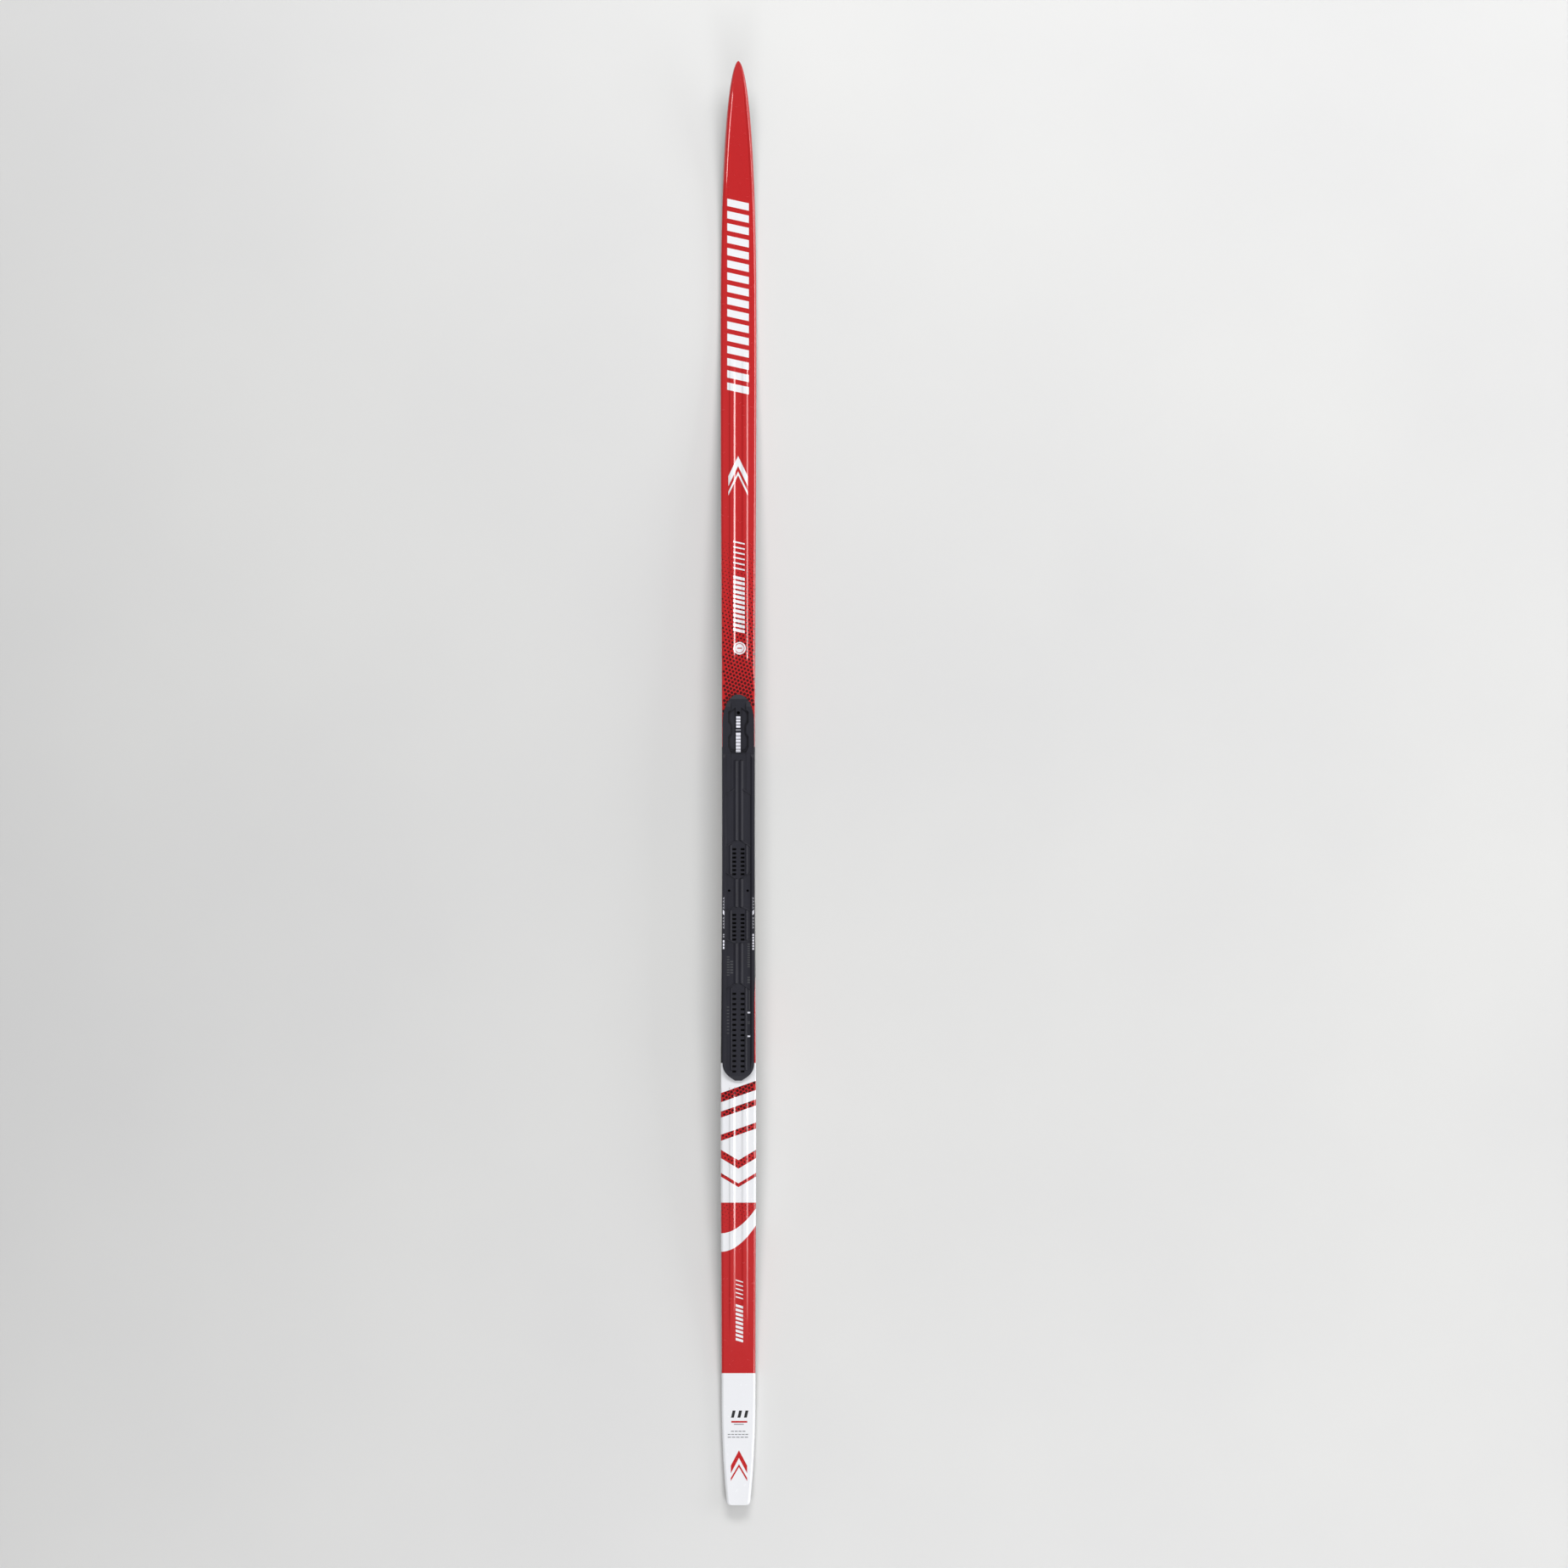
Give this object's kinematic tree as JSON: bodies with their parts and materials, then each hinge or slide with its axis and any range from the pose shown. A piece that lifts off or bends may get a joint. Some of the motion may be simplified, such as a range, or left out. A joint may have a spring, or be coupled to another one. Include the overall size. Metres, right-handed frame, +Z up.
{
  "type": "cross country ski",
  "caption": "Slim cambered cross country ski with a pointed shovel, squared tail, ridged topsheet, slide-on binding plate and a mohair skin let into the base.",
  "frame": {"origin": "on the floor that the ski's two contact lines rest on, under the middle of its length", "axes": "+Y along the ski towards the tip, +X across it to the skier's right, +Z up"},
  "size_m": [0.0474, 1.87, 0.057],
  "materials": {
    "topsheet": "glossy red printed film, with white and black areas",
    "carbon_fibre": "resin-bonded fibre layer",
    "light_wood": "light wood strips",
    "dense_wood": "dense wood strips",
    "glass_fibre": "dense glass-fibre plate",
    "filler_plastic": "rigid plastic filler",
    "running_base": "ground polyethylene",
    "adhesive": "thin bonding film",
    "skin_cloth": "woven backing cloth",
    "mohair": "short directional pile",
    "plate_plastic": "moulded black nylon, satin"
  },
  "bodies": {
    "root": {"topsheet": "topsheet", "upper_laminate": "carbon_fibre", "core_centre": "light_wood", "core_left": "light_wood", "core_right": "light_wood", "edge_strip_left": "dense_wood", "edge_strip_right": "dense_wood", "binding_reinforcement": "glass_fibre", "tip_filler": "filler_plastic", "tail_filler": "filler_plastic", "lower_laminate": "carbon_fibre", "base_sheet": "running_base", "skin_adhesive": "adhesive", "skin_backing": "skin_cloth", "skin_pile": "mohair", "plate_adhesive": "adhesive", "binding_plate": "plate_plastic"}
  },
  "joints": []
}
